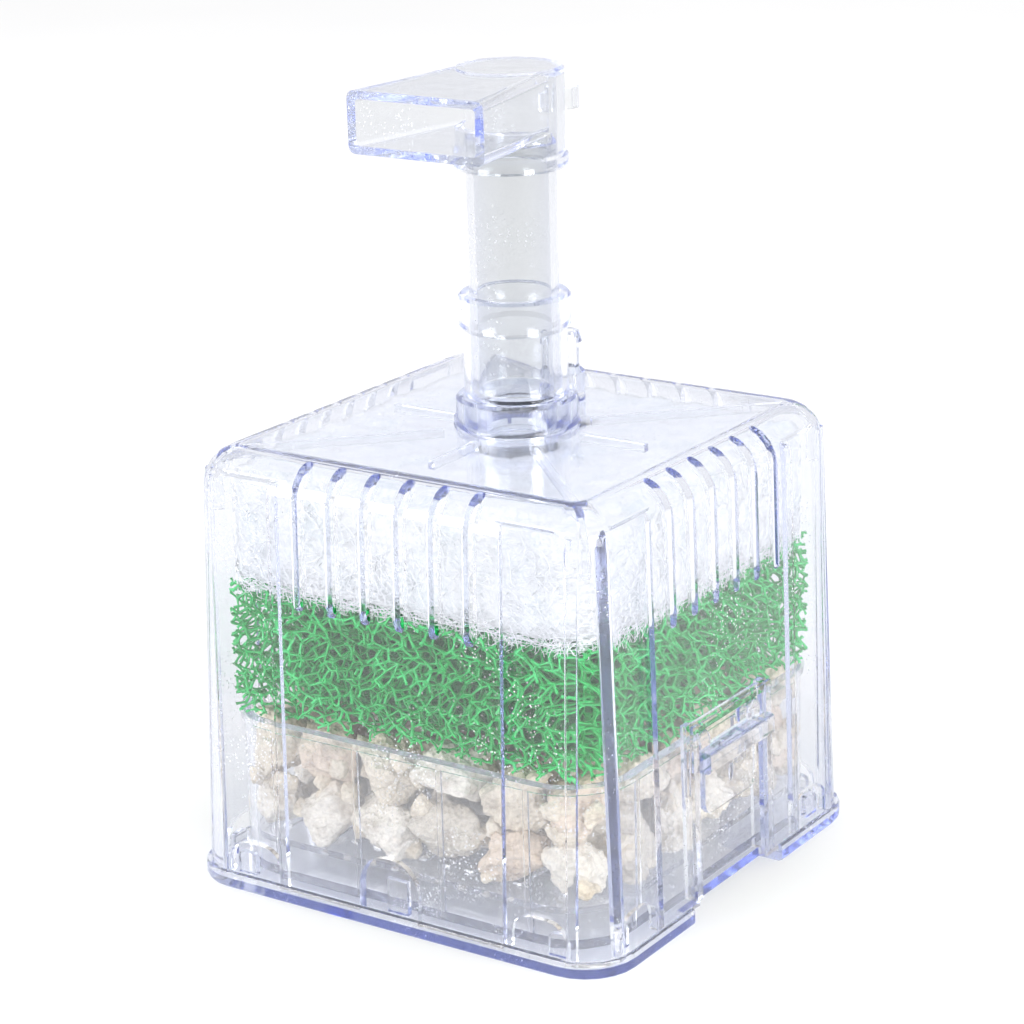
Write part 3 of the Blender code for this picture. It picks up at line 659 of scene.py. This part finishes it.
def make_stones():
    """A rough stone in place of each plain one, and one piece of small stones in place of the core."""
    rng = np.random.default_rng(21)
    cream, pink, pale, grey = (
        stone_material("stone_cream", (0.78, 0.68, 0.52), (0.5, 0.41, 0.3), (0.84, 0.77, 0.66)),
        stone_material("stone_pink", (0.76, 0.61, 0.46), (0.48, 0.36, 0.26), (0.82, 0.71, 0.59)),
        stone_material("stone_pale", (0.84, 0.77, 0.65), (0.56, 0.48, 0.38), (0.88, 0.84, 0.76)),
        stone_material("stone_grey", (0.64, 0.57, 0.46), (0.4, 0.34, 0.27), (0.74, 0.68, 0.58)),
    )
    order = (cream, pale, pink, pale, cream, grey, pale, pink, cream, pale, pink, grey)
    points, faces = unit_sphere(5)
    for number in range(1, STONES + 1):
        node = f"stone_{number:02d}"
        low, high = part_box(node)
        low, high = np.array(low) / MM - STONE_SWELL, np.array(high) / MM + STONE_SWELL
        shape = stone_points(rng, points, low, high)
        tone = order[number % len(order)]
        mesh_object(f"{node}_rough", shape, faces, tone, "base", (node,))
    low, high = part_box("stone_core")
    points, faces = unit_sphere(3)
    shapes = [
        stone_points(rng, points, spot - size, spot + size)
        for spot, size in filler_spots(rng, low.z / MM, high.z / MM)
    ]
    heap = np.concatenate(shapes)
    faces = np.concatenate([faces + number * len(points) for number in range(len(shapes))])
    mesh_object("stone_fill", heap, faces, cream, "base", ("stone_core",))


# ---------------------------------------------------------------- studio


def make_floor():
    """Plain pale floor, half a millimetre under the object."""
    bm = bmesh.new()
    bmesh.ops.create_grid(bm, x_segments=1, y_segments=1, size=6.0)
    mesh = bpy.data.meshes.new("studio_floor")
    bm.to_mesh(mesh)
    bm.free()
    floor = bpy.data.objects.new("studio_floor", mesh)
    floor.location.z = -0.0005
    bpy.context.scene.collection.objects.link(floor)
    material, tree, shader, _ = new_material("studio_floor")
    tone = object_noise(tree, 3.0, 2.0)
    colour = ramp(tree, tone, [(0.3, (0.83, 0.83, 0.835)), (0.7, (0.86, 0.86, 0.86))])
    link(tree, colour, shader.inputs["Base Color"])
    shader.inputs["Roughness"].default_value = 0.9
    mesh.materials.append(material)


def make_world():
    """Even white light all round, a little dimmer at the horizon."""
    world = bpy.data.worlds.new("studio")
    world.use_nodes = True
    bpy.context.scene.world = world
    tree = world.node_tree
    background = tree.nodes["Background"]
    split = tree.nodes.new("ShaderNodeSeparateXYZ")
    link(tree, tree.nodes.new("ShaderNodeTexCoord").outputs["Generated"], split.inputs[0])
    stops = [(0.0, (0.94, 0.94, 0.95)), (0.5, (1.0, 1.0, 1.0)), (1.0, (1.0, 1.0, 1.0))]
    link(tree, ramp(tree, split.outputs["Z"], stops), background.inputs["Color"])
    background.inputs["Strength"].default_value = 1.0


def make_lamp(name, place, target, size, watts):
    """A soft rectangular lamp that faces its target."""
    data = bpy.data.lights.new(name, "AREA")
    data.shape = "RECTANGLE"
    data.size, data.size_y = size
    data.energy = watts
    obj = bpy.data.objects.new(name, data)
    obj.location = place
    obj.rotation_euler = (Vector(target) - Vector(place)).to_track_quat("-Z", "Y").to_euler()
    bpy.context.scene.collection.objects.link(obj)


def make_camera():
    """The camera at the product view's angle."""
    azimuth, elevation, roll = (math.radians(angle) for angle in (AZIMUTH, ELEVATION, ROLL))
    flat = math.cos(elevation)
    back = Vector((math.sin(azimuth) * flat, -math.cos(azimuth) * flat, math.sin(elevation)))
    right = Vector((math.cos(azimuth), math.sin(azimuth), 0.0))
    up = back.cross(right)
    turned_right = right * math.cos(roll) + up * math.sin(roll)
    turned_up = up * math.cos(roll) - right * math.sin(roll)
    place = Vector((0, 0, AIM_HEIGHT)) + back * DISTANCE - turned_right * SHIFT
    camera = bpy.data.cameras.new("camera")
    camera.lens, camera.sensor_width = LENS, SENSOR
    camera.clip_start, camera.clip_end = 0.02, 30.0
    holder = bpy.data.objects.new("camera", camera)
    columns = Matrix((turned_right, turned_up, back)).transposed().to_4x4()
    holder.matrix_world = Matrix.Translation(place) @ columns
    bpy.context.scene.collection.objects.link(holder)
    bpy.context.scene.camera = holder


def studio():
    """Floor, light and camera, with enough bounces for walls behind walls."""
    make_floor()
    make_world()
    make_lamp("key", (-0.8, -1.25, 0.5), (0, 0, 0.07), (0.8, 0.6), 13.0)
    make_lamp("fill", (1.3, -0.3, 0.5), (0, 0, 0.07), (0.6, 0.6), 12.0)
    make_lamp("top", (0.1, 0.25, 1.3), (0, 0, 0.1), (0.9, 0.9), 4.0)
    make_camera()
    scene = bpy.context.scene
    scene.view_settings.view_transform = "Standard"
    scene.cycles.max_bounces = BOUNCES
    scene.cycles.transmission_bounces = BOUNCES
    scene.cycles.glossy_bounces = BOUNCES
    scene.cycles.transparent_max_bounces = CLEAR_BOUNCES


studio()
dress_clear_nodes()
foam_core = make_foam(*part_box("foam_pad"))
floss_mat = make_floss(*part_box("floss_pad"))
make_stones()
